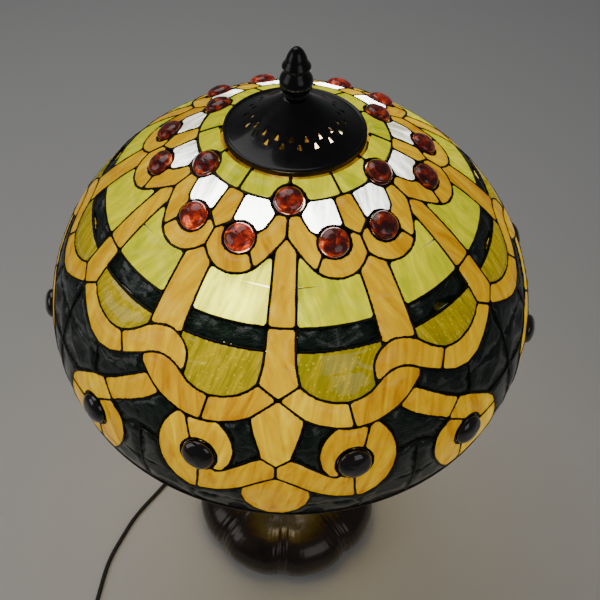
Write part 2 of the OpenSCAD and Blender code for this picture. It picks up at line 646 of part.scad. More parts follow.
pad_t = 2;
plate_r = 86;
cavity_h = 28;
foot_profile = [
  [98, pad_t], [104, 6], [108, 14], [111, 26], [110, 38], [103, 50], [90, 59], [72, 64.5], [52, 67],
  [34, foot_h],
];
fold_points = 80;
// How far the surface is drawn in by the folds: nothing at the middle of a lobe
function drawn_in(angle) = fold * pow(1 - abs(sin(angle * lobes / 2)), 2.2);
module lobed_body() {
  rings = len(foot_profile);
  scale_r = foot_r / 111;
  points = concat(
    [
      for (p = foot_profile, j = [0:fold_points - 1])
        let (
          angle = 360 / fold_points * j,
          r = p[0] * scale_r - drawn_in(angle) * min(1, (p[0] - 30) / 60)
        )
        [r * sin(angle), -r * cos(angle), p[1]]
    ],
    [[0, 0, pad_t], [0, 0, foot_h]]
  );
  bottom = rings * fold_points;
  sides = [
    for (i = [0:rings - 2], j = [0:fold_points - 1])
      let (a = i * fold_points + j, b = i * fold_points + (j + 1) % fold_points)
      each [[a, a + fold_points, b], [b, a + fold_points, b + fold_points]]
  ];
  ends = [
    for (j = [0:fold_points - 1])
      let (a = j, b = (j + 1) % fold_points, up = (rings - 1) * fold_points)
      each [[a, b, bottom], [up + b, up + a, bottom + 1]]
  ];
  polyhedron(points = points, faces = concat(sides, ends));
}

exit_angle = 170;
exit_z = 12;
module toward_exit(out) rotate(exit_angle) translate([out, 0, exit_z]) rotate([0, 90, 0]) children();

module foot() color(bronze) difference() {
  lobed_body();
  translate([0, 0, -1]) cylinder(r = plate_r, h = cavity_h + 1);
  cylinder(r = loose_bore, h = foot_h + 10);
  toward_exit(plate_r - 10) cylinder(r = bushing_r, h = 40);
}
module felt_pad() color([0.08, 0.1, 0.08]) washer(90, loose_bore, pad_t);
module foot_plate() color(iron_black) translate([0, 0, pad_t]) washer(plate_r - 0.4, loose_bore, 2);
module foot_weight() color(iron_black) translate([0, 0, pad_t + 2]) washer(plate_r - 6, 22, 12);
module rod_washer() color(brass) translate([0, 0, cavity_h - 3]) washer(16, loose_bore, 3);
module rod_nut() color(brass) translate([0, 0, cavity_h - 10]) hex_nut(17, loose_bore, 7);

// ---- Mains cord: out of the foot, along the table, and wound into a coil ----

bushing_r = 5.5;
collar_out = plate_r + 22;
nose_len = 24;
module cord_bushing() color(rubber_black) {
  toward_exit(plate_r) cylinder(r = bushing_r, h = 22);
  toward_exit(collar_out) cylinder(r1 = 6.8, r2 = 3.4, h = nose_len);
}
cord_r = cord_d / 2;
exit_out = collar_out + nose_len;
exit_x = exit_out * cos(exit_angle);
exit_y = exit_out * sin(exit_angle);
coil_x = -256;
coil_y = -226;
coil_out = 37;
coil_h = 2 * cord_d;

// Points along a smooth curve through a list of places
function through(p, steps) = [
  for (i = [0:len(p) - 2], k = [0:steps - 1])
    let (
      t = k / steps,
      a = p[max(i - 1, 0)],
      b = p[i],
      c = p[i + 1],
      d = p[min(i + 2, len(p) - 1)]
    )
    0.5 * (2 * b + t * (c - a) + t * t * (2 * a - 5 * b + 4 * c - d) + t * t * t * (3 * b - 3 * c + d - a)),
  p[len(p) - 1],
];
module tube(route, r, sides) {
  n = len(route);
  points = [
    for (i = [0:n - 1], j = [0:sides - 1])
      let (
        ahead = unit(route[min(i + 1, n - 1)] - route[max(i - 1, 0)]),
        side = unit(cross(ahead, [0, 0, 1])),
        up = cross(side, ahead),
        t = 360 / sides * (j + 0.5)
      )
      route[i] + r * (cos(t) * side + sin(t) * up)
  ];
  walls = [
    for (i = [0:n - 2], j = [0:sides - 1])
      let (a = i * sides + j, b = i * sides + (j + 1) % sides)
      each [[a, b, a + sides], [b, b + sides, a + sides]]
  ];
  ends = [
    [for (j = [sides - 1:-1:0]) j],
    [for (j = [0:sides - 1]) (n - 1) * sides + j],
  ];
  polyhedron(points = points, faces = concat(walls, ends));
}
cord_route = [
  [exit_x, exit_y, exit_z], [-142, 25, 11], [-151, 25, 7.5], [-160, 18, 3.6], [-172, 0, 2.5],
  [-185, -20, 2.5], [-196, -40, 2.5], [-204, -61, 2.5], [-211, -81, 2.5], [-215, -97, 2.5],
  [-217, -113, 2.5], [-218, -130, 2.5], [-219, -150, 2.5], [-219, -175, 2.5], [-219, -200, 2.5],
  [-219, -222, 2.5],
];
tail_route = [
  [-258, -263, 7.5], [-268, -263, 7.3], [-280, -263, 5.5], [-292, -262, 3.8], [-304, -261, 4.4],
  [-318, -261, 6],
];
plug_x = -318;
plug_y = -261;
module cord_run() color(rubber_black) tube(through(cord_route, 2), cord_r, 8);
module cord_tail() color(rubber_black) tube(through(tail_route, 2), cord_r, 8);
module cord_coil() color(rubber_black) translate([coil_x, coil_y, 0]) rotate_extrude()
  translate([coil_out - 20 - cord_r, 0]) square([20 + cord_d, coil_h]);
module plug_body() color(rubber_black) translate([plug_x, plug_y, 0]) {
  translate([0, 0, 6]) rotate([0, -90, 0]) cylinder(r1 = 3.2, r2 = 6, h = 15);
  translate([-38, -12, 0]) cube([24, 24, 16]);
}
module plug_pins() color(brass)
  for (side = [1, -1]) translate([plug_x - 55, plug_y + side * 6.4 - 0.8, 4.8]) cube([17, 1.6, 6.4]);

felt_pad();
foot();
foot_plate();
foot_weight();
rod_nut();
rod_washer();
threaded_rod();
stem();
stem_collar();
cluster_hub();
cluster_nut();
socket_front();
socket_back();
bulb_front();
bulb_back();
bulb_base_front();
bulb_base_back();
pull_chain_front();
pull_chain_back();
pull_bob_front();
pull_bob_back();
cord_bushing();
cord_run();
cord_coil();
cord_tail();
plug_body();
plug_pins();
seat_nut();
spider();
top_ring();
rim_band();
vent_cap();
finial();
upper_seams();
lower_seams();
band_seams();
jewel_settings();
crown_glass();
opal_glass();
wedge_glass();
chevron_glass();
swag_glass();
tall_bar_glass();
short_bar_glass();
panel_glass();
ripple_band_glass();
seedy_glass();
ribbon_glass();
link_glass();
scroll_glass();
lower_ribbon_glass();
shield_glass();
drop_glass();
ground_glass();
top_jewels();
middle_jewels();
dark_jewels();
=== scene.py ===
import math
import random

import bmesh
import bpy
import numpy as np
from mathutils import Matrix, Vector
from mathutils.kdtree import KDTree


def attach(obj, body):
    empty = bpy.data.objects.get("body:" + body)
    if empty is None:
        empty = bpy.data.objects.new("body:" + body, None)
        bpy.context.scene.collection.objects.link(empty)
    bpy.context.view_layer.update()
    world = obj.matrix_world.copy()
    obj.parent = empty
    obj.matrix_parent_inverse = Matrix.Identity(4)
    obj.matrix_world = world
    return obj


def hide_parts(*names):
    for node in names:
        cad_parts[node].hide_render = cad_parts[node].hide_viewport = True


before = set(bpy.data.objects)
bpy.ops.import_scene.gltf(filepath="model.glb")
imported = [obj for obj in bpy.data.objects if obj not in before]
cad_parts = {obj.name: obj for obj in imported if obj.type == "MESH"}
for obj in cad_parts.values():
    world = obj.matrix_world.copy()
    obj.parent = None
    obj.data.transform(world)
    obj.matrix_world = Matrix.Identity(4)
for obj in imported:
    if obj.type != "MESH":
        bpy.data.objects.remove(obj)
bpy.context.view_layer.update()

# ---- Camera ----
# It looks down on the shade from the front, close enough for the rim to bow.
camera = bpy.data.objects.new("camera", bpy.data.cameras.new("camera"))
bpy.context.collection.objects.link(camera)
camera.data.lens = 44.84
camera.data.sensor_width = 36
camera.data.shift_y = 0.0397
camera.data.clip_start = 0.05
camera.location = (0.0195, -0.4556, 0.9056)
camera.rotation_euler = (math.radians(40.086), math.radians(-1.311), math.radians(2.941))
bpy.context.scene.camera = camera


# ---- Mains lead ----
# A round black two-core lead, 5 mm thick. It leaves a bushing in the foot's wall, crosses the
# table and is wound into a coil of two layers, with a moulded two-pin plug on its end.
class Wire:
    """One value in a finish, with arithmetic that adds Math nodes."""

    def __init__(self, finish, socket):
        self.finish, self.socket = finish, socket

    def math(self, operation, *others):
        return self.finish.node("Math", {"operation": operation}, dict(enumerate((self, *others))))

    def __add__(self, other):
        return self.math("ADD", other)

    def __sub__(self, other):
        return self.math("SUBTRACT", other)

    def __mul__(self, other):
        return self.math("MULTIPLY", other)

    def __truediv__(self, other):
        return self.math("DIVIDE", other)

    def __pow__(self, other):
        return self.math("POWER", other)

    def __rsub__(self, other):
        return self.finish.node("Math", {"operation": "SUBTRACT"}, {0: other, 1: self})

    def __rtruediv__(self, other):
        return self.finish.node("Math", {"operation": "DIVIDE"}, {0: other, 1: self})

    __radd__ = __add__
    __rmul__ = __mul__

    def between(self, low, high):
        """0 at low and 1 at high, held at both ends."""
        return self.finish.node(
            "MapRange", {"interpolation_type": "SMOOTHSTEP"},
            {"Value": self, "From Min": low, "From Max": high},
        )


class Finish:
    """A material of a Principled surface and the nodes that feed it."""

    def __init__(self, name, **fixed):
        self.material = bpy.data.materials.new(name)
        self.material.use_nodes = True
        self.tree = self.material.node_tree
        self.tree.nodes.clear()
        self.surface = self.tree.nodes.new("ShaderNodeBsdfPrincipled")
        output = self.tree.nodes.new("ShaderNodeOutputMaterial")
        self.tree.links.new(self.surface.outputs[0], output.inputs["Surface"])
        self.set(**fixed)

    def set(self, **values):
        for name, value in values.items():
            self.put(self.surface.inputs[name.replace("_", " ").title().replace("Ior", "IOR")], value)

    def put(self, socket, value):
        if isinstance(value, Wire):
            self.tree.links.new(value.socket, socket)
        elif isinstance(value, tuple) and len(value) == 3 and socket.type == "RGBA":
            socket.default_value = (*value, 1)
        else:
            socket.default_value = value

    def node(self, kind, settings=None, inputs=None, out=0):
        made = self.tree.nodes.new("ShaderNode" + kind)
        for key, value in (settings or {}).items():
            if key == "stops":
                ramp = made.color_ramp.elements
                while len(ramp) < len(value):
                    ramp.new(0.5)
                for stop, (place, colour) in zip(ramp, value):
                    stop.position, stop.color = place, (*colour, 1)
            else:
                setattr(made, key, value)
        for key, value in (inputs or {}).items():
            self.put(made.inputs[key], value)
        return Wire(self, made.outputs[out])

    def place(self):
        return self.node("TexCoord", out=3)

    def stretched(self, place, x, y, z):
        return self.node("VectorMath", {"operation": "MULTIPLY"}, {0: place, 1: (x, y, z)})

    def noise(self, place, size, detail=2.0, rough=0.5, warp=0.0):
        return self.node(
            "TexNoise", None,
            {"Vector": place, "Scale": 1 / size, "Detail": detail, "Roughness": rough, "Distortion": warp},
        )

    def cells(self, place, size, feature="F1"):
        return self.node("TexVoronoi", {"feature": feature}, {"Vector": place, "Scale": 1 / size})

    def ramp(self, value, *stops):
        return self.node("ValToRGB", {"stops": stops}, {"Fac": value})

    def mix(self, factor, first, second, blend="MIX"):
        return self.node(
            "Mix", {"data_type": "RGBA", "blend_type": blend, "clamp_factor": True},
            {0: factor, 6: first, 7: second}, 2,
        )

    def bump(self, height, depth, strength=1.0):
        self.set(normal=self.node("Bump", None, {"Height": height, "Distance": depth, "Strength": strength}))


def given(name, points, faces, finish, body, nodes, smooth=40):
    """A finished piece: a mesh in metres with its finish, on its body, for the CAD nodes it stands for."""
    mesh = bpy.data.meshes.new(name)
    mesh.from_pydata([tuple(p) for p in points], [], faces)
    return dressed(name, mesh, finish, body, nodes, smooth)


def dressed(name, mesh, finish, body, nodes, smooth=40):
    piece = bpy.data.objects.new(name, mesh)
    bpy.context.collection.objects.link(piece)
    mesh.materials.clear()
    mesh.materials.append(finish.material)
    mesh.shade_smooth()
    if smooth < 180:
        mesh.set_sharp_from_angle(angle=math.radians(smooth))
    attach(piece, body)
    if nodes:
        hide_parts(*nodes)
    return piece


def through(points, steps):
    """Points along a smooth curve through a list of points."""
    p = [np.array(q, float) for q in points]
    made = []
    for i in range(len(p) - 1):
        a, b, c, d = p[max(i - 1, 0)], p[i], p[i + 1], p[min(i + 2, len(p) - 1)]
        for k in range(steps):
            t = k / steps
            made.append(0.5 * (
                2 * b + t * (c - a) + t * t * (2 * a - 5 * b + 4 * c - d)
                + t ** 3 * (3 * b - 3 * c + d - a)
            ))
    return made + [p[-1]]


def lathe(profile, turns=64, wave=None):
    """Points and faces of a closed shape turned about Z. A profile point on the axis closes a pole."""
    points, rows, faces = [], [], []
    for r, z in profile:
        if r < 1e-7:
            rows.append([len(points)] * turns)
            points.append((0, 0, z))
            continue
        rows.append([len(points) + j for j in range(turns)])
        for j in range(turns):
            a = 2 * math.pi * j / turns
            reach = r if wave is None else wave(r, z, a)
            points.append((reach * math.sin(a), -reach * math.cos(a), z))
    for low, high in zip(rows, rows[1:]):
        for j in range(turns):
            k = (j + 1) % turns
            corners = [low[j], low[k], high[k], high[j]]
            faces.append([c for i, c in enumerate(corners) if c not in corners[:i]])
    return points, faces


def set_out(mesh):
    """Joins a mesh's doubles and turns all its faces outwards."""
    shape = bmesh.new()
    shape.from_mesh(mesh)
    bmesh.ops.remove_doubles(shape, verts=shape.verts, dist=1e-6)
    bmesh.ops.recalc_face_normals(shape, faces=shape.faces)
    shape.to_mesh(mesh)
    shape.free()
    return mesh


rubber = Finish("black_rubber", base_color=(0.012, 0.012, 0.013), specular_ior_level=0.4)
rubber.set(roughness=rubber.noise(rubber.place(), 0.004, 3) * 0.15 + 0.38)
rubber.bump(rubber.noise(rubber.place(), 0.0012, 2), 0.0001, 0.4)

collar_out, nose_len = 0.108, 0.024
exit_turn = math.radians(170)
cord_exit = ((collar_out + nose_len) * math.cos(exit_turn), (collar_out + nose_len) * math.sin(exit_turn), 0.012)
lead_points = [cord_exit] + [(x / 1000, y / 1000, z / 1000) for x, y, z in (
    (-142, 25, 11), (-151, 25, 7.5), (-160, 18, 3.6), (-172, 0, 2.5), (-185, -20, 2.5),
    (-196, -40, 2.5), (-204, -61, 2.5), (-211, -81, 2.5), (-215, -97, 2.5), (-217, -113, 2.5),
    (-218, -130, 2.5), (-219, -150, 2.5), (-219, -175, 2.5), (-219, -200, 2.5),
)]
coil_x, coil_y = -0.256, -0.226
coil_points = []
for turns, r_from, r_to, z_from, z_to in ((4, 0.037, 0.017, 0.0025, 0.0025), (4.25, 0.016, 0.0372, 0.0075, 0.0075)):
    count = int(turns * 24)
    for i in range(count + (z_from > 0.005)):
        u = i / count
        angle = -2 * math.pi * turns * u
        r = r_from + (r_to - r_from) * u
        z = z_from
        if z_from < 0.005 and u > 1 - 0.25 / turns:
            z = 0.0025 + 0.005 * (u - 1 + 0.25 / turns) * turns / 0.25
        coil_points.append((coil_x + r * math.cos(angle), coil_y + r * math.sin(angle), z))
tail_points = [(x / 1000, y / 1000, z / 1000) for x, y, z in (
    (-268, -263, 7.3), (-280, -263, 5.5), (-292, -262, 3.8), (-304, -261, 4.4), (-318, -261, 6),
)]
lead_path = through(lead_points, 3) + coil_points + through(tail_points, 3)
lead_curve = bpy.data.curves.new("lead", "CURVE")
lead_curve.dimensions = "3D"
lead_curve.bevel_depth = 0.0025
lead_curve.bevel_resolution = 3
lead_curve.use_fill_caps = True
run = lead_curve.splines.new("POLY")
run.points.add(len(lead_path) - 1)
for point, at in zip(run.points, lead_path):
    point.co = (*at, 1)
lead_curve.materials.append(rubber.material)
lead = bpy.data.objects.new("mains_lead", lead_curve)
bpy.context.collection.objects.link(lead)
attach(lead, "base")
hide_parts("cord_run", "cord_coil", "cord_tail")

# The plug is moulded on: a flat rounded body with a ribbed neck that the lead enters.
plug_x, plug_y = -0.318, -0.261
plug_mesh = bpy.data.meshes.new("moulded_plug")
plug_shape = bmesh.new()
bmesh.ops.create_cube(plug_shape, size=1)
for v in plug_shape.verts:
    taper = 0.86 if v.co.x > 0 else 1.0
    v.co = Vector((plug_x - 0.026 + v.co.x * 0.024, plug_y + v.co.y * 0.024 * taper, 0.008 + v.co.z * 0.016 * taper))
bmesh.ops.bevel(plug_shape, geom=plug_shape.edges[:], offset=0.003, segments=4, profile=0.6, affect="EDGES")
neck_profile = [(0, -0.015)]
for i in range(5):
    z = -0.015 + i * 0.003
    r = 0.0058 - i * 0.00055
    neck_profile += [(r, z), (r, z + 0.0019), (r - 0.0009, z + 0.0021), (r - 0.0009, z + 0.0028)]
neck_points, neck_faces = lathe(neck_profile + [(0.0029, 0.0), (0, 0.0)], 24)
neck_verts = [plug_shape.verts.new((plug_x + z, plug_y + x, 0.006 + y)) for x, y, z in neck_points]
for face in neck_faces:
    plug_shape.faces.new([neck_verts[i] for i in face])
bmesh.ops.recalc_face_normals(plug_shape, faces=plug_shape.faces)
plug_shape.to_mesh(plug_mesh)
plug_shape.free()
plug = dressed("moulded_plug", plug_mesh, rubber, "base", ["plug_body"])


def finished(node, finish):
    """Gives a CAD node, whose shape is right as it is, its finish."""
    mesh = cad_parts[node].data
    mesh.materials.clear()
    mesh.materials.append(finish.material)


finished("cord_bushing", rubber)


# ---- Brass fittings ----
# Turned and pressed brass: the rod with its nuts, the cluster that splits it into two lamp
# holders, the pull chains, the shade's seat, spider and crown ring, and the plug's pins.
brass = Finish("aged_brass", metallic=1.0)
brass_place = brass.place()
brass_age = brass.noise(brass_place, 0.012, 4, 0.6)
brass.set(
    base_color=brass.ramp(brass_age, (0.3, (0.42, 0.27, 0.09)), (0.62, (0.72, 0.51, 0.21))),
    roughness=brass_age * 0.25 + 0.2,
)
brass.bump(brass.noise(brass.stretched(brass_place, 1, 1, 12), 0.01, 2), 0.0001, 0.5)
for node in (
    "rod_nut", "rod_washer", "threaded_rod", "cluster_hub", "cluster_nut", "socket_front", "socket_back",
    "pull_chain_front", "pull_chain_back", "pull_bob_front", "pull_bob_back", "seat_nut", "spider",
    "top_ring", "plug_pins",
):
    finished(node, brass)


# ---- Bulbs ----
# Two frosted bulbs with a threaded metal cap. They are lit, their glow mottled between warm orange and
# pale yellow, and they lie along the front-left to back-right line inside the shade.
lamp_turn = math.radians(-15)
bulb_reach, bulb_z = 0.094, 0.480
bulb_front = (bulb_reach * math.sin(lamp_turn), -bulb_reach * math.cos(lamp_turn), bulb_z)
bulb_back = (-bulb_front[0], -bulb_front[1], bulb_z)


def lamp_light(finish, place, reach=0.056):
    """How strongly a point of the shade is lit by the nearer bulb; 1 at the given distance."""
    near = [
        finish.node("VectorMath", {"operation": "DISTANCE"}, {0: place, 1: bulb}, 1)
        for bulb in (bulb_front, bulb_back)
    ]
    return (reach / near[0]) ** 2 + (reach / near[1]) ** 2


bulb_glass = Finish("lit_bulb", base_color=(0.9, 0.86, 0.76), roughness=0.35, emission_strength=6.0)
bulb_mark = bulb_glass.noise(bulb_glass.place(), 0.02, 2)
bulb_glass.set(emission_color=bulb_glass.ramp(bulb_mark, (0.3, (1.0, 0.72, 0.36)), (0.7, (1.0, 0.88, 0.62))))
bulb_metal = Finish("bulb_cap_metal", metallic=1.0, base_color=(0.72, 0.71, 0.68))
bulb_metal.set(roughness=bulb_metal.noise(bulb_metal.place(), 0.004, 3) * 0.2 + 0.22)
bulb_metal.bump(bulb_metal.node("TexWave", {"bands_direction": "Z"}, {"Vector": bulb_metal.place(), "Scale": 60}), 0.0006)
for side in ("front", "back"):
    finished("bulb_" + side, bulb_glass)
    finished("bulb_base_" + side, bulb_metal)


# ---- Foot ----
# A cast foot of eight lobes, drawn in between them by a pleat of several fine ridges, with a
# dark brown bronze lacquer whose tone varies at random, with warmer specks. Felt, plate and ballast are under it.
bronze = Finish("dark_bronze", metallic=0.35, coat_roughness=0.12)
bronze_place = bronze.place()
bronze_tone = bronze.noise(bronze_place, 0.05, 5, 0.6)
bronze_speck = bronze.noise(bronze_place, 0.0016, 3, 0.6)
bronze_base = bronze.ramp(bronze_tone, (0.35, (0.011, 0.0065, 0.0045)), (0.7, (0.034, 0.017, 0.010)))
bronze.set(
    base_color=bronze.mix(bronze_speck.between(0.55, 0.75) * 0.5, bronze_base, (0.045, 0.026, 0.016)),
    roughness=bronze_tone * 0.16 + 0.2,
    coat_weight=bronze_tone * 0.4 + 0.35,
)
bronze.bump(bronze.noise(bronze_place, 0.006, 4, 0.6) + bronze_speck * 0.3, 0.0003, 0.5)

foot_r, foot_h, pad_t, plate_r, lobes, fold_in = 0.111, 0.068, 0.002, 0.086, 8, 0.0066
foot_outer = through([
    (0.0055, foot_h), (0.020, foot_h), (0.034, foot_h), (0.052, 0.067), (0.072, 0.0645), (0.090, 0.059),
    (0.103, 0.050), (0.110, 0.038), (0.111, 0.026), (0.108, 0.014), (0.104, 0.006), (0.098, pad_t),
], 5)
foot_inner = [(0.0862, pad_t), (plate_r, 0.0065), (plate_r, 0.020), (0.0845, 0.0262), (0.080, 0.028), (0.030, 0.028), (0.0055, 0.028)]


def pleated(r, z, a):
    """Lobes with a double pleat between them: a deep fold and fine ridges that die away from it."""
    if r < 0.03 or (r, z) in foot_flat:
        return r
    turn = (a * lobes / (2 * math.pi)) % 1.0
    off = min(turn, 1 - turn) * 2 * math.pi / lobes * r
    reach = min(1.0, (r - 0.030) / 0.060)
    fold = fold_in * (1 - abs(math.sin(a * lobes / 2))) ** 2.2
    ridge = 0.0014 * math.cos(2 * math.pi * off / 0.0066) * math.exp(-off / 0.0075)
    return r - reach * (fold - ridge)


foot_flat = set(foot_inner)
foot_points, foot_faces = lathe([(r, z) for r, z in foot_outer] + foot_inner, 480, pleated)
turns = 480
last, count = len(foot_points) - turns, len(foot_points)
foot_faces += [[last + j, last + (j + 1) % turns, (j + 1) % turns, j] for j in range(turns)]
foot = given("pleated_foot", foot_points, foot_faces, bronze, "base", ["foot"], 50)
set_out(foot.data)

felt = Finish("green_black_felt", roughness=0.95, sheen_weight=0.3)
felt_fuzz = felt.noise(felt.place(), 0.0011, 4, 0.7)
felt.set(base_color=felt.ramp(felt_fuzz, (0.3, (0.008, 0.011, 0.008)), (0.7, (0.03, 0.04, 0.03))))
felt.bump(felt_fuzz, 0.0004, 0.8)
finished("felt_pad", felt)

casting = Finish("rough_casting", metallic=0.6)
casting_grain = casting.noise(casting.place(), 0.003, 5, 0.7)
casting.set(
    base_color=casting.ramp(casting_grain, (0.3, (0.03, 0.03, 0.03)), (0.7, (0.09, 0.085, 0.08))),
    roughness=casting_grain * 0.3 + 0.5,
)
casting.bump(casting_grain, 0.0005, 0.8)
finished("foot_plate", casting)
finished("foot_weight", casting)


# ---- Stem ----
# A hollow cast stem, fluted all the way up, that hides the rod between the foot and the
# cluster. A plain turned collar caps it.
stem_foot, stem_top, stem_bore = 0.068, 0.394, 0.0056
stem_profile = [(stem_bore, stem_foot)] + [tuple(p) for p in through([
    (0.034, stem_foot), (0.030, 0.074), (0.020, 0.082), (0.015, 0.098), (0.0125, 0.128), (0.012, 0.200),
    (0.013, 0.260), (0.016, 0.310), (0.020, 0.340), (0.022, 0.358), (0.019, 0.372), (0.013, 0.382),
    (0.016, 0.389), (0.016, stem_top),
], 6)] + [(stem_bore, stem_top)]


def fluted(r, z, a):
    if r < 0.0075:
        return r
    return r * (1 - 0.045 * (0.5 + 0.5 * math.cos(12 * a)) ** 1.5)


stem_points, stem_faces = lathe(stem_profile, 144, fluted)
stem_faces += [[len(stem_points) - 144 + j, len(stem_points) - 144 + (j + 1) % 144, (j + 1) % 144, j] for j in range(144)]
stem = given("fluted_stem", stem_points, stem_faces, bronze, "base", ["stem"], 60)
set_out(stem.data)
finished("stem_collar", bronze)


# ---- The shade's wall ----
# The shade is a dome of cut glass soldered edge to edge. Its pattern is drawn as lines of
# [degrees round from the front, millimetres down the wall]; the seams and glass follow them.
crown_r, crown_z, wall_len, wall_steps = 51.7, 581.5, 272.5, 60


def slope_at(down):
    """The wall's slope below the level, in radians, at a distance down it."""
    u = down / wall_len
    return np.radians(20 + 48.5 * u + 37.5 * u ** 3)


wall = [(0.0, crown_r, crown_z)]
for i in range(wall_steps):
    step = wall_len / wall_steps
    slope = slope_at((i + 0.5) * step)
    wall.append(((i + 1) * step, wall[-1][1] + step * math.cos(slope), wall[-1][2] - step * math.sin(slope)))
wall = np.array(wall)


def on_wall(turn, down, out=0.0):
    """A point of the wall in metres, and out millimetres proud of it."""
    r = np.interp(down, wall[:, 0], wall[:, 1]) + out * math.sin(slope_at(down))
    z = np.interp(down, wall[:, 0], wall[:, 2]) + out * math.cos(slope_at(down))
    a = math.radians(turn)
    return np.array((r * math.sin(a), -r * math.cos(a), z)) / 1000


def round_jewel(middle, r, start=0, end=360, steps=32):
    """Pattern points round a jewel, by clock angle from its upper side."""
    per_degree = np.interp(middle[1], wall[:, 0], wall[:, 1]) * math.pi / 180
    made = []
    for i in range(steps + 1):
        t = math.radians(start + (end - start) * i / steps)
        made.append((middle[0] + r * math.sin(t) / per_degree, middle[1] - r * math.cos(t)))
    return made


# ---- Solder seams ----
# Each piece of glass is edged with copper foil and soldered to its neighbours. The bead is
# 3.3 mm wide, rounded, a little uneven, filleted where seams meet, and patinated black-brown.
top_jewel, mid_jewel, c_jewel, d_jewel = (0, 19.3), (18.7, 51), (15.8, 207), (43.3, 224)
setting_r, dark_setting_r = 11.7, 13.7
ring_s, break_s, band_s, glass_foot = 20, 106.2, 121.8, 270.5

side_lines = [
    [(9.6, ring_s), (17, ring_s), (24.6, ring_s), (30, ring_s)],
    [(24.6, ring_s), (24.6, 42.5)], [(24.6, 42.5), (30, 50.5)], [(9.5, 41.5), (7.2, 34.5)],
    [(0, 45.5), (4.2, 55.4), (7, 62), (10.6, 69.8), (14, 74), (18.5, 76), (22.5, 75), (24.8, 72.9),
     (27.4, 69.2), (30, 63.5)],
    [(9.5, 41.5), round_jewel(mid_jewel, setting_r, -62, -62, 1)[0]],
    [(7.2, 34.5), round_jewel(top_jewel, setting_r, 145, 145, 1)[0]],
    [(10.6, 69.8), round_jewel(mid_jewel, setting_r, -130, -130, 1)[0]],
    [(4.2, 55.4), (3.9, 80), (3.8, break_s), (3.7, band_s)],
    [(24.8, 72.9), (25.1, 90), (25.2, break_s), (25.3, band_s)],
    [(0, break_s), (3.8, break_s), (14, break_s), (25.2, break_s)],
    [(3.7, band_s), (14, band_s), (25.3, band_s)],
]
bar_lines = [[(0, 0.5), (0, 8)], [(30, 0.5), (30, ring_s)], [(0, 30.8), (0, 45.5)], [(30, 50.5), (30, 63.5)]]
sector_lines = [
    [(3.7, band_s), (4, 134), (4.8, 144.3)], [(4.8, 144.3), (0, 154.3)],
    [(4.8, 144.3), (6.5, 149.5), (9, 154), (12, 157), (15.3, 158.2), (18, 156.8), (20.5, 153.8), (22, 150.3)],
    [(22, 150.3), (22, 141), (22.5, 134.5), (23.8, 129.3), (25.3, 126.4), (27, 124.3), (29, 123.7),
     (32, 125.7), (34.6, 129.8), (36.3, 134.5), (38.6, 140.4), (41.2, 145.2), (43.5, 146.8), (46, 147.3),
     (50, 145.3), (53.5, 141), (56.1, 136)],
    [(56.3, band_s), (56.2, 130), (56.1, 136)], [(56.1, 136), (60, 146)],
    [(41.2, 145.2), (38.4, 159)],
    [(60, 146), (56.8, 152.5), (53.5, 158.7), (50, 164.4), (46, 167), (42, 164.8), (38.4, 159),
     (35.8, 154.2), (33.3, 149.8)],
    [(22, 150.3), (24.8, 144.9), (27.9, 142.9), (30.8, 145), (33.3, 149.8)],
    [(15.3, 158.2), (16.3, 177.8)],
    [(0, 154.3), (3.2, 162), (5.8, 168.5), (8.6, 172.6), (12.3, 176), (16.3, 177.8), (19.5, 177),
     (21.4, 175.6), (24, 172.8), (26.2, 169.8), (28.6, 165.2), (30.7, 160), (32.7, 154.8), (33.3, 149.8)],
    [(30.7, 160), (34.6, 169.6), (38.1, 178.6), (41.4, 186), (44.5, 190.8), (47.5, 197.8), (50.4, 205.5),
     (52.2, 213), (53.1, 222.5), (53.8, 233), (54.3, 245), (54, 256), (52.6, 265), (51.2, glass_foot)],
    [(26.2, 169.8), (28.6, 177.5), (32.3, 186.5), (37.6, 199.5), (35.4, 206), (34.3, 213), (33.8, 222),
     (34.2, 232), (35.5, 243), (37.3, 254), (39.3, 264), (40.9, glass_foot)],
    [(41.4, 186), (37.6, 199.5)],
    [(5.8, 168.5), (5, 179), (4.1, 188), (3.2, 199.2), (5, 203.2), (7.6, 209), (10.7, 217)],
    [(3.2, 199.2), (0, 206.8)], [(16.5, 245.8), (12, 241), (9, 236), (6.8, 231.5)],
    [(0, 217.3), (3.3, 223), (6.8, 231.5)],
    [(6.8, 231.5), (7.1, 240), (6.3, 250.5), (4.7, 260), (1.6, glass_foot)],
    [(12.3, 176), (10, 183.5), (8.9, 191), (8.6, 199.5), (9.2, 209), (10.7, 217)],
    [(21.4, 175.6), (23, 182.5), (24.2, 190), (24.9, 199.5), (24.9, 209), (24.2, 220), (22.8, 230.5),
     (20.9, 239), (18, 245.6), (16.5, 245.8)],
    [(16.5, 245.8), (16, 233), round_jewel(c_jewel, dark_setting_r, 180, 180, 1)[0]],
    [(19.5, 177), round_jewel(c_jewel, dark_setting_r, 32, 32, 1)[0]],
    [(37.6, 199.5), (40, 204.8), round_jewel(d_jewel, dark_setting_r, 345, 345, 1)[0]],
    [(53.1, 222.5), round_jewel(d_jewel, dark_setting_r, 84, 84, 1)[0]],
    [round_jewel(d_jewel, dark_setting_r, 200, 200, 1)[0], (42.3, 247), (43, 258), (43.7, glass_foot)],
    [(24.9, 209), (27, 205.8), (29.6, 204.5), (32, 206.3), (34.3, 213)],
    [(18, 245.6), (18.2, glass_foot)], [(29.6, 204.5), (29.3, 238), (29, glass_foot)],
    [(46, 167), (45.4, 179), (44.5, 190.8)], [(50.4, 205.5), (60, 205)],
    [(34.6, 129.8), (34.7, band_s)], [(25.3, 126.4), (25.3, band_s)], [(10.7, 217), (12.6, 219.2)],
    round_jewel(c_jewel, dark_setting_r), round_jewel(d_jewel, dark_setting_r),
]
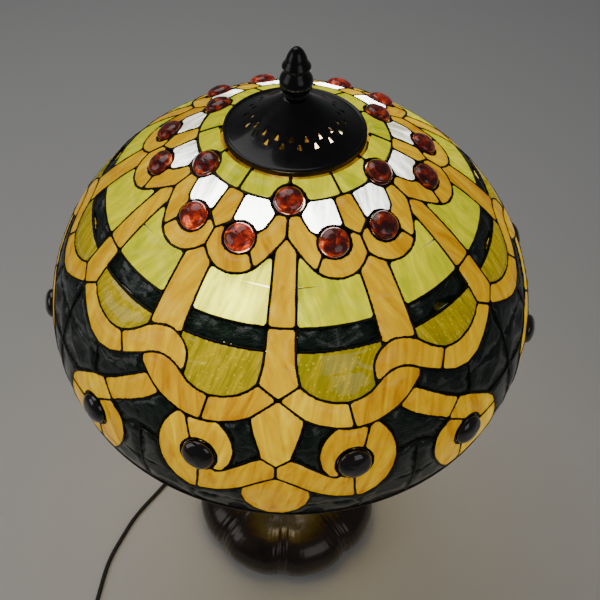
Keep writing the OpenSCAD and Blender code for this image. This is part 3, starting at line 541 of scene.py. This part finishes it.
crossing_lines = [[(0, 206.8), (0, 217.3)], [(60, 146), (60, 176), (60, 205), (60, 238), (60, glass_foot)]]


def laid_out(lines, step, count, mirror):
    """The same lines at every step round the shade, and mirrored in each."""
    return [
        [(way * a + k * step, s) for a, s in line]
        for k in range(count) for way in ((1, -1) if mirror else (1,)) for line in lines
    ]


def seam_curve(name, lines):
    """Curves on the wall, smooth through the pattern's points."""
    curve = bpy.data.curves.new(name, "CURVE")
    curve.dimensions = "3D"
    for line in lines:
        fine = line if len(line) > 30 else through(line, 6)
        spline = curve.splines.new("POLY")
        spline.points.add(len(fine) - 1)
        for point, (turn, down) in zip(spline.points, fine):
            point.co = (*on_wall(turn, down, 0.7), 1)
    return bpy.data.objects.new(name, curve)


def bead_tree(finish):
    """Geometry Nodes: a round bead along curves, its width waving a little along the way."""
    tree = bpy.data.node_groups.new("solder_bead", "GeometryNodeTree")
    tree.interface.new_socket("Lines", in_out="INPUT", socket_type="NodeSocketGeometry")
    for name, value in (("Bead Radius", 0.0016), ("Unevenness", 0.2), ("Wave Length", 0.012), ("Step", 0.002)):
        tree.interface.new_socket(name, in_out="INPUT", socket_type="NodeSocketFloat").default_value = value
    tree.interface.new_socket("Beads", in_out="OUTPUT", socket_type="NodeSocketGeometry")
    add, link = tree.nodes.new, tree.links.new
    given_in, out = add("NodeGroupInput"), add("NodeGroupOutput")
    even = add("GeometryNodeResampleCurve")
    even.mode = "LENGTH"
    link(given_in.outputs["Lines"], even.inputs["Curve"])
    link(given_in.outputs["Step"], even.inputs["Length"])
    noise = add("ShaderNodeTexNoise")
    scale = add("ShaderNodeMath")
    scale.operation = "DIVIDE"
    scale.inputs[0].default_value = 1.0
    link(given_in.outputs["Wave Length"], scale.inputs[1])
    link(add("GeometryNodeInputPosition").outputs[0], noise.inputs["Vector"])
    link(scale.outputs[0], noise.inputs["Scale"])
    wave = add("ShaderNodeMapRange")
    link(noise.outputs[0], wave.inputs["Value"])
    low, high = add("ShaderNodeMath"), add("ShaderNodeMath")
    low.operation, high.operation = "SUBTRACT", "ADD"
    for node, socket in ((low, "To Min"), (high, "To Max")):
        node.inputs[0].default_value = 1.0
        link(given_in.outputs["Unevenness"], node.inputs[1])
        link(node.outputs[0], wave.inputs[socket])
    width = add("ShaderNodeMath")
    width.operation = "MULTIPLY"
    link(wave.outputs[0], width.inputs[0])
    link(given_in.outputs["Bead Radius"], width.inputs[1])
    thick = add("GeometryNodeSetCurveRadius")
    link(even.outputs[0], thick.inputs["Curve"])
    link(width.outputs[0], thick.inputs["Radius"])
    ring = add("GeometryNodeCurvePrimitiveCircle")
    ring.inputs["Resolution"].default_value = 8
    ring.inputs["Radius"].default_value = 1.0
    sweep = add("GeometryNodeCurveToMesh")
    sweep.inputs["Fill Caps"].default_value = True
    link(thick.outputs[0], sweep.inputs["Curve"])
    link(ring.outputs[0], sweep.inputs["Profile Curve"])
    if "Scale" in sweep.inputs:
        link(width.outputs[0], sweep.inputs["Scale"])
    real, paint = add("GeometryNodeRealizeInstances"), add("GeometryNodeSetMaterial")
    paint.inputs["Material"].default_value = finish.material
    link(sweep.outputs[0], real.inputs[0])
    link(real.outputs[0], paint.inputs["Geometry"])
    link(paint.outputs[0], out.inputs[0])
    return tree


def made_plain(source, tree, values=None):
    """Runs a tree on an object and returns the result as a plain mesh; the source is removed."""
    bpy.context.collection.objects.link(source)
    change = source.modifiers.new("made", "NODES")
    change.node_group = tree
    for item in tree.interface.items_tree:
        if item.in_out == "INPUT" and item.name in (values or {}):
            change[item.identifier] = values[item.name]
    bpy.context.view_layer.update()
    graph = bpy.context.evaluated_depsgraph_get()
    mesh = bpy.data.meshes.new_from_object(source.evaluated_get(graph))
    bpy.data.objects.remove(source)
    return mesh


solder = Finish("dark_patina_solder", metallic=0.75)
solder_place = solder.place()
solder_tone = solder.noise(solder_place, 0.018, 4, 0.6)
solder.set(
    base_color=solder.ramp(solder_tone, (0.3, (0.010, 0.008, 0.007)), (0.7, (0.035, 0.026, 0.020))),
    roughness=solder_tone * 0.25 + 0.22,
)
solder.bump(solder.noise(solder_place, 0.0035, 3, 0.6), 0.0003, 0.5)

upper_lines = laid_out(side_lines, 60, 6, True) + laid_out(bar_lines, 60, 6, False)
upper_lines += laid_out([round_jewel(top_jewel, setting_r)], 60, 6, False)
upper_lines += laid_out([round_jewel(mid_jewel, setting_r)], 60, 6, True)
lower_lines = laid_out(sector_lines, 120, 3, True) + laid_out(crossing_lines, 120, 3, False)
beads = bead_tree(solder)
weld_size = 0.00124
for name, lines, nodes in (
    ("upper_seams_solder", upper_lines, ["upper_seams", "jewel_settings", "band_seams"]),
    ("lower_seams_solder", lower_lines, ["lower_seams"]),
):
    mesh = made_plain(seam_curve(name, lines), beads)
    welded = bpy.data.objects.new(name, mesh)
    bpy.context.collection.objects.link(welded)
    join = welded.modifiers.new("weld", "REMESH")
    join.mode, join.voxel_size = "VOXEL", weld_size
    ease = welded.modifiers.new("ease", "SMOOTH")
    ease.factor, ease.iterations = 0.5, 3
    graph = bpy.context.evaluated_depsgraph_get()
    mesh = bpy.data.meshes.new_from_object(welded.evaluated_get(graph))
    bpy.data.objects.remove(welded)
    print(name, "faces", len(mesh.polygons))
    dressed(name, mesh, solder, "shade", nodes, 180)
finished("rim_band", solder)


# ---- Cut glass ----
# Every piece is cut from a sheet of its own kind of glass, 3 mm thick, and bent to the wall.
# It is lit from inside, brightest beside the bulbs, and its streaks run their own way.
facet_lap = 0.0011


def nearest_down(points):
    """Distance down the wall of each point's nearest place on it, in millimetres."""
    reach = np.hypot(points[:, 0], points[:, 1])
    fine = np.linspace(0, wall_len, 1100)
    r, z = np.interp(fine, wall[:, 0], wall[:, 1]), np.interp(fine, wall[:, 0], wall[:, 2])
    gap = (reach[:, None] - r) ** 2 + (points[:, 2][:, None] - z) ** 2
    return fine[gap.argmin(1)]


def cut_glass(node, finish):
    """The node's pieces, bent to the wall, each with its own streak direction and tone."""
    shape = bmesh.new()
    shape.from_mesh(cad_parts[node].data)
    bmesh.ops.remove_doubles(shape, verts=shape.verts, dist=1e-6)
    bmesh.ops.dissolve_limit(shape, angle_limit=math.radians(0.5), verts=shape.verts, edges=shape.edges)
    bmesh.ops.triangulate(shape, faces=[f for f in shape.faces if len(f.verts) > 4])
    for i in range(2):
        long = [e for e in shape.edges if e.calc_length() > 0.011]
        bmesh.ops.subdivide_edges(shape, edges=long, cuts=1)
    bmesh.ops.triangulate(shape, faces=shape.faces)
    sheet = shape.loops.layers.uv.new("sheet")
    tone = shape.verts.layers.float.new("tone")
    shape.verts.ensure_lookup_table()
    points = np.array([v.co for v in shape.verts]) * 1000
    down = nearest_down(points)
    reach = np.hypot(points[:, 0], points[:, 1])
    out = (reach - np.interp(down, wall[:, 0], wall[:, 1])) * np.sin(slope_at(down))
    out += (points[:, 2] - np.interp(down, wall[:, 0], wall[:, 2])) * np.cos(slope_at(down))

    near = KDTree(len(shape.verts))
    for v in shape.verts:
        near.insert(v.co, v.index)
    near.balance()
    met = set()
    piece_number = 0
    for first in range(len(points)):
        if first in met:
            continue
        stack, group = [first], []
        while stack:
            i = stack.pop()
            if i in met:
                continue
            met.add(i)
            group.append(i)
            stack += [e.other_vert(shape.verts[i]).index for e in shape.verts[i].link_edges]
            stack += [j for at, j, gap in near.find_range(shape.verts[i].co, facet_lap)]
        dice = random.Random(f"{node} {piece_number}")
        piece_number += 1
        turn, shift, shade = dice.uniform(-0.5, 0.5), (dice.uniform(0, 3), dice.uniform(0, 3)), dice.random()
        middle = sum((shape.verts[i].co for i in group), Vector()) / len(group)
        east = Vector((-middle.y, middle.x, 0)).normalized()
        up = Vector((middle.x, middle.y, 0.12)).normalized().cross(east)
        for i in group:
            v = shape.verts[i]
            v[tone] = shade
            x, y = (v.co - middle).dot(east), (v.co - middle).dot(up)
            for loop in v.link_loops:
                loop[sheet].uv = (
                    x * math.cos(turn) - y * math.sin(turn) + shift[0],
                    x * math.sin(turn) + y * math.cos(turn) + shift[1],
                )
        # a straight edge on a level seam is bowed to follow it
        group = np.array(group)
        facing = math.atan2(middle.x, -middle.y)
        round_from = (np.arctan2(points[group, 0], -points[group, 1]) - facing + math.pi) % (2 * math.pi) - math.pi
        for line in (ring_s, break_s, band_s):
            off = np.abs(down[group] - line)
            if (off < 4).sum() < 4:
                continue
            low, high = round_from[off < 4].min(), round_from[off < 4].max()
            bow = ((high - low) ** 2 / 4 - (round_from - (low + high) / 2) ** 2) / 2
            bow *= np.interp(line, wall[:, 0], wall[:, 1]) * math.cos(slope_at(line))
            down[group] += bow * np.clip((12 - off) / 8, 0, 1)

    depth = np.where(out > 0, 1.5, -1.5)
    new_r = np.interp(down, wall[:, 0], wall[:, 1]) + depth * np.sin(slope_at(down))
    new_z = np.interp(down, wall[:, 0], wall[:, 2]) + depth * np.cos(slope_at(down))
    for v, a, b, old in zip(shape.verts, new_r, new_z, reach):
        v.co = Vector((v.co.x * a / old, v.co.y * a / old, b / 1000))
    bmesh.ops.recalc_face_normals(shape, faces=shape.faces)
    mesh = bpy.data.meshes.new(node + "_cut")
    shape.to_mesh(mesh)
    shape.free()
    return dressed(node + "_cut", mesh, finish, "shade", [node], 50)


def lit_glass(name, streaks, clouds, hot_from, hot_to, hot):
    """Glass of streaked colours with clouds of another, glowing with the light behind it."""
    finish = Finish(name, roughness=0.2, specular_ior_level=0.3, coat_weight=0.15, coat_roughness=0.08, emission_strength=1.0)
    sheet = finish.node("UVMap", {"uv_map": "sheet"})
    tone = finish.node("Attribute", {"attribute_name": "tone"}, None, 2)
    flow = finish.noise(finish.stretched(sheet, 5, 1, 1), 0.035, 5, 0.6, 0.6)
    cloud = finish.noise(finish.stretched(sheet, 1.3, 1, 1), 0.028, 3, 0.5, 0.4)
    tint = finish.ramp(flow + (tone - 0.5) * 0.22, *streaks)
    tint = finish.mix(cloud.between(0.50, 0.72) * 0.6, tint, clouds)
    light = lamp_light(finish, finish.place())
    glow = finish.mix((light + (flow - 0.5) * 0.3).between(hot_from, hot_to), tint, hot)
    level = light.between(0.0, 0.55) * 0.5 + 0.6
    shade = finish.node("CombineColor", None, {0: level, 1: level, 2: level})
    finish.set(
        base_color=finish.mix(1.0, tint, (0.06, 0.06, 0.06), "MULTIPLY"),
        emission_color=finish.mix(1.0, glow, shade, "MULTIPLY"),
    )
    finish.bump(flow * 0.6 + finish.noise(sheet, 0.006, 3, 0.6) * 0.4, 0.0003, 0.25)
    return finish


amber = lit_glass(
    "streaky_amber_glass",
    ((0.24, (0.52, 0.20, 0.0)), (0.42, (0.76, 0.40, 0.0)), (0.60, (0.92, 0.54, 0.0)), (0.80, (1.20, 0.82, 0.0))),
    (0.64, 0.27, 0.0), 0.70, 1.30, (3.2, 2.6, 0.6),
)
yellow = lit_glass(
    "wispy_yellow_glass",
    ((0.24, (0.40, 0.48, 0.0)), (0.42, (0.66, 0.64, 0.0)), (0.60, (0.88, 0.82, 0.0)), (0.80, (1.20, 1.12, 0.0))),
    (0.40, 0.50, 0.0), 0.50, 0.86, (4.5, 4.5, 0.3),
)
opal = lit_glass(
    "white_opal_glass",
    ((0.25, (0.80, 0.76, 0.42)), (0.5, (1.8, 1.8, 1.5)), (0.75, (3.0, 3.0, 2.7))),
    (1.2, 1.2, 0.9), 0.26, 0.46, (9.0, 9.0, 8.6),
)
for node in ("wedge_glass", "chevron_glass", "swag_glass", "tall_bar_glass", "short_bar_glass", "ribbon_glass",
             "link_glass", "scroll_glass", "lower_ribbon_glass", "shield_glass", "drop_glass"):
    cut_glass(node, amber)
for node in ("crown_glass", "panel_glass"):
    cut_glass(node, yellow)
cut_glass("opal_glass", opal)

# Seedy glass is olive, drawn in fine vertical streaks, and full of small bubbles, which dent it and whose middles
# glow as painted glints.
seedy = Finish("seedy_olive_glass", roughness=0.16, coat_weight=0.4, coat_roughness=0.06, emission_strength=1.0)
seedy_sheet = seedy.node("UVMap", {"uv_map": "sheet"})
seedy_tone = seedy.node("Attribute", {"attribute_name": "tone"}, None, 2)
seedy_flow = seedy.noise(seedy.stretched(seedy_sheet, 9, 1, 1), 0.030, 5, 0.65, 0.3)
seedy_bubbles_and_glints = seedy.cells(seedy.stretched(seedy_sheet, 1.6, 1, 1), 0.0042)
seedy_tint = seedy.ramp(
    seedy_flow + (seedy_tone - 0.5) * 0.25, (0.25, (0.16, 0.23, 0.001)), (0.45, (0.33, 0.25, 0.001)),
    (0.62, (0.52, 0.38, 0.001)), (0.80, (0.70, 0.55, 0.01)),
)
seedy_light = lamp_light(seedy, seedy.place(), 0.08).between(0.0, 1.3) * 0.7 + 0.5
seedy_grey = seedy.node("CombineColor", None, {0: seedy_light, 1: seedy_light, 2: seedy_light})
# The bubbles' middles are painted glints: bright yellow spots put only into the glow. The bubbles' dents are real
# bump.
seedy_tint_and_bubble_glints = seedy.mix((1 - seedy_bubbles_and_glints.between(0.10, 0.26)) * 0.55, seedy_tint, (0.95, 0.75, 0.05))
seedy.set(
    base_color=seedy.mix(1.0, seedy_tint, (0.25, 0.25, 0.25), "MULTIPLY"),
    emission_color=seedy.mix(1.0, seedy_tint_and_bubble_glints, seedy_grey, "MULTIPLY"),
)
seedy.bump(seedy_flow * 0.5 + seedy_bubbles_and_glints.between(0.05, 0.3) * 0.6, 0.0005, 0.5)
cut_glass("seedy_glass", seedy)

# The ripple band and the ground are green-black glass, hammered and rippled so that it glints.
ripple = Finish("green_black_ripple_glass", coat_weight=0.3, coat_roughness=0.08, emission_strength=1.0)
ripple_sheet = ripple.node("UVMap", {"uv_map": "sheet"})
ripple_wave = ripple.noise(ripple.stretched(ripple_sheet, 1, 2.2, 1), 0.008, 3, 0.55, 1.6)
ripple_dents = ripple.cells(ripple_sheet, 0.0048, "SMOOTH_F1")
ripple_tint = ripple.ramp(ripple_wave, (0.35, (0.0008, 0.0018, 0.0010)), (0.6, (0.003, 0.008, 0.004)), (0.8, (0.016, 0.028, 0.018)))
ripple_light = lamp_light(ripple, ripple.place(), 0.07).between(0.0, 1.4) * 1.3 + 0.25
ripple.set(
    base_color=ripple_tint,
    roughness=ripple_wave * 0.2 + 0.10,
    emission_color=ripple.mix(1.0, ripple_tint, ripple.node("CombineColor", None, {0: ripple_light, 1: ripple_light, 2: ripple_light}), "MULTIPLY"),
)
ripple.bump(ripple_wave + ripple_dents * 0.7, 0.0012, 0.6)
for node in ("ripple_band_glass", "ground_glass"):
    cut_glass(node, ripple)


# ---- Jewels ----
# Round pressed cabochons, flat behind. The two upper rows are ruby, mottled with orange and lit
# through in hot spots; the lower rows are near-black.
def pressed_jewels(node, middles, r, rise, finish):
    """Domes with a rounded girdle and a faintly lumpy top, one for each place on the wall."""
    profile = [(0, rise)] + [(r * math.sin(t), 2 + (rise - 2) * math.cos(t)) for t in np.linspace(0.12, 1.45, 11)]
    profile += [(r, 1.2), (r, -1.2), (r - 0.8, -2.0), (r * 0.6, -2.0), (0, -2.0)]
    points, faces = [], []
    for number, (turn, down) in enumerate(middles):
        dice = random.Random(f"{node} {number}")
        phase = [dice.uniform(0, 6.28) for i in range(3)]
        one, one_faces = lathe(profile, 40)
        base, n = on_wall(turn, down), (on_wall(turn, down, 1) - on_wall(turn, down)) * 1000
        east = np.array((math.cos(math.radians(turn)), math.sin(math.radians(turn)), 0))
        up = np.cross(n, east)
        start = len(points)
        for x, y, z in one:
            a, q = math.atan2(y, x), math.hypot(x, y) / r
            lump = 0.22 * q * math.sin(3 * a + phase[0]) + 0.16 * q * math.cos(5 * a + phase[1])
            points.append(base + (x * east + y * up + (z + lump * (z > 2)) * n) / 1000)
        faces += [[start + i for i in face] for face in one_faces]
    piece = given(node + "_pressed", points, faces, finish, "shade", [node], 50)
    set_out(piece.data)
    return piece


ruby = Finish("mottled_ruby_glass", roughness=0.12, coat_weight=0.8, coat_roughness=0.04, emission_strength=1.0)
ruby_place = ruby.place()
ruby_mottle = ruby.noise(ruby_place, 0.007, 4, 0.65, 0.8)
ruby_cells = ruby.cells(ruby_place, 0.006)
ruby_tint = ruby.ramp(
    ruby_mottle - ruby_cells * 0.10, (0.38, (0.030, 0.003, 0.002)), (0.50, (0.16, 0.009, 0.003)),
    (0.61, (0.52, 0.050, 0.004)), (0.72, (1.50, 0.52, 0.04)),
)
ruby_light = lamp_light(ruby, ruby_place, 0.055).between(0.2, 0.6) * 3.0 + 0.35
ruby.set(
    base_color=ruby.mix(1.0, ruby_tint, (0.4, 0.4, 0.4), "MULTIPLY"),
    emission_color=ruby.mix(1.0, ruby_tint, ruby.node("CombineColor", None, {0: ruby_light, 1: ruby_light, 2: ruby_light}), "MULTIPLY"),
)
ruby.bump(ruby_mottle, 0.0008, 0.5)
dark = Finish("near_black_glass", roughness=0.07, coat_weight=1.0, coat_roughness=0.03)
dark_mottle = dark.noise(dark.place(), 0.009, 3)
dark.set(base_color=dark.ramp(dark_mottle, (0.35, (0.004, 0.002, 0.002)), (0.7, (0.020, 0.006, 0.004))))
dark.bump(dark_mottle, 0.0006, 0.4)

pressed_jewels("top_jewels", [(k * 60, top_jewel[1]) for k in range(6)], 9.9, 7.0, ruby)
pressed_jewels(
    "middle_jewels", [(k * 60 + way * mid_jewel[0], mid_jewel[1]) for k in range(6) for way in (1, -1)],
    10.2, 7.0, ruby,
)
pressed_jewels(
    "dark_jewels", [(k * 120 + way * q[0], q[1]) for k in range(3) for way in (1, -1) for q in (c_jewel, d_jewel)],
    12.2, 8.0, dark,
)


# ---- Vented cap ----
# A pressed black cap, 104 mm across, sweeps up like a bell from its rolled rim to the finial.
# Two rings of eighteen small windows are cut through it, the inner ring set between the outer.
black = Finish("gloss_black_enamel", coat_weight=0.35, coat_roughness=0.08, specular_ior_level=0.3)
black_place = black.place()
black_wear = black.noise(black_place, 0.010, 4, 0.6)
black.set(
    base_color=black.ramp(black_wear, (0.3, (0.0030, 0.0026, 0.0024)), (0.75, (0.010, 0.008, 0.007))),
    roughness=black_wear * 0.18 + 0.16,
)
black.bump(black.noise(black_place, 0.004, 3, 0.6), 0.0002, 0.4)

cap_z, bell_h, cap_t, vents = 584.0, 27.0, 1.6, 18
cap_rings = (5.4, 8, 10, 12, 14, 17, 19.5, 22, 24, 26, 28.4, 32, 33, 36.8, 38.5, 42, 45, 48, 49.5, 50.6, 51.4, 52.2)
vent_marks = (-3, 3, 7, 10, 13)
outer_window_in, inner_window_in = 33, 28.4


def bell(r):
    """Height of the cap's outer face above its rim, in millimetres."""
    if r > 50.6:
        return 1.4 - 0.5 * (r - 50.6)
    if r > 49.5:
        return bell_h * (2.2 / 43.7) ** 1.25 + (1.4 - bell_h * (2.2 / 43.7) ** 1.25) * (r - 49.5) / 1.1
    return bell_h * min(1.0, max(0.0, 51.7 - max(r, 8)) / 43.7) ** 1.25


cap_shape = bmesh.new()
cap_grid = []
for r in cap_rings:
    ring = []
    for i in range(vents):
        for mark in vent_marks:
            if r == outer_window_in and abs(mark) == 3:
                mark *= 0.4
            if r == inner_window_in and mark in (7, 13):
                mark = 10 + (mark - 10) * 0.4
            a = math.radians(8 + i * 360 / vents + mark)
            ring.append(cap_shape.verts.new((r * math.sin(a) / 1000, -r * math.cos(a) / 1000, (cap_z + bell(r)) / 1000)))
    cap_grid.append(ring)
around = len(cap_grid[0])
for row in range(len(cap_rings) - 1):
    for j in range(around):
        segment = j % len(vent_marks)
        outer_window = cap_rings[row] == outer_window_in and segment == 0
        inner_window = cap_rings[row] == inner_window_in and segment in (2, 3)
        if outer_window or inner_window:
            continue
        k = (j + 1) % around
        cap_shape.faces.new([cap_grid[row][j], cap_grid[row][k], cap_grid[row + 1][k], cap_grid[row + 1][j]])
bmesh.ops.recalc_face_normals(cap_shape, faces=cap_shape.faces)
cap_mesh = bpy.data.meshes.new("vented_cap")
cap_shape.to_mesh(cap_mesh)
cap_shape.free()
cap_sheet = bpy.data.objects.new("cap_sheet", cap_mesh)
bpy.context.collection.objects.link(cap_sheet)
gauge = cap_sheet.modifiers.new("gauge", "SOLIDIFY")
gauge.thickness, gauge.offset, gauge.use_even_offset = cap_t / 1000, -1, True
round_off = cap_sheet.modifiers.new("round", "BEVEL")
round_off.width, round_off.segments, round_off.limit_method = 0.0003, 2, "ANGLE"
round_off.angle_limit = math.radians(50)
cap_mesh = bpy.data.meshes.new_from_object(cap_sheet.evaluated_get(bpy.context.evaluated_depsgraph_get()))
bpy.data.objects.remove(cap_sheet)
cap = dressed("vented_cap", cap_mesh, black, "shade", ["vent_cap"], 60)
set_out(cap.data)


# ---- Finial ----
# A turned acorn with a collar under a bulb, screwed on the rod's end to hold the shade down.
finial_z = 611.3
finial_profile = [
    (0, 0), (7.6, 0), (8.5, 0.5), (8.2, 2.5), (9.2, 3.4), (10.4, 4.5), (11.6, 7.5), (11.9, 10.5), (11, 14),
    (9, 17), (8, 18.6), (8.2, 19.4), (9.3, 20), (10, 21.4), (9.5, 23), (7.9, 25.4), (6.6, 29), (4.6, 32.6),
    (2.4, 34.8), (0, 35.4),
]
turned_shape, turned_faces = lathe(
    [(0, finial_z / 1000)] + [
        (max(0.0, float(r)) / 1000, (finial_z + float(z)) / 1000) for r, z in through(finial_profile[1:-1], 4)
    ] + [(0, (finial_z + finial_profile[-1][1]) / 1000)], 72,
)
finial = given("turned_finial", turned_shape, turned_faces, black, "finial", ["finial"], 40)
set_out(finial.data)


# ---- Table, light and air ----
# A plain pale table, a large soft light overhead and a weaker one from the front, and a dim
# room; the glass glows by itself.
floor_mesh = bpy.data.meshes.new("table")
floor_mesh.from_pydata([(-4, -4, 0), (4, -4, 0), (4, 4, 0), (-4, 4, 0)], [], [(0, 1, 2, 3)])
floor = bpy.data.objects.new("table", floor_mesh)
bpy.context.collection.objects.link(floor)
paper = Finish("pale_table", base_color=(0.80, 0.79, 0.77), roughness=0.75)
floor_mesh.materials.append(paper.material)
for name, at, size, power in (
    ("overhead", (-0.5, 0.7, 1.9), 1.2, 6), ("front", (0.9, -1.2, 1.3), 0.9, 2), ("left", (-1.3, -0.4, 1.0), 0.8, 2),
):
    lamp = bpy.data.lights.new(name, "AREA")
    lamp.size, lamp.energy = size, power
    light = bpy.data.objects.new(name, lamp)
    light.location = at
    light.rotation_euler = (Vector((0, 0, 0.4)) - Vector(at)).to_track_quat("-Z", "Y").to_euler()
    bpy.context.collection.objects.link(light)
world = bpy.data.worlds.new("room")
world.use_nodes = True
world.node_tree.nodes["Background"].inputs["Color"].default_value = (0.85, 0.88, 0.92, 1)
world.node_tree.nodes["Background"].inputs["Strength"].default_value = 0.10
bpy.context.scene.world = world
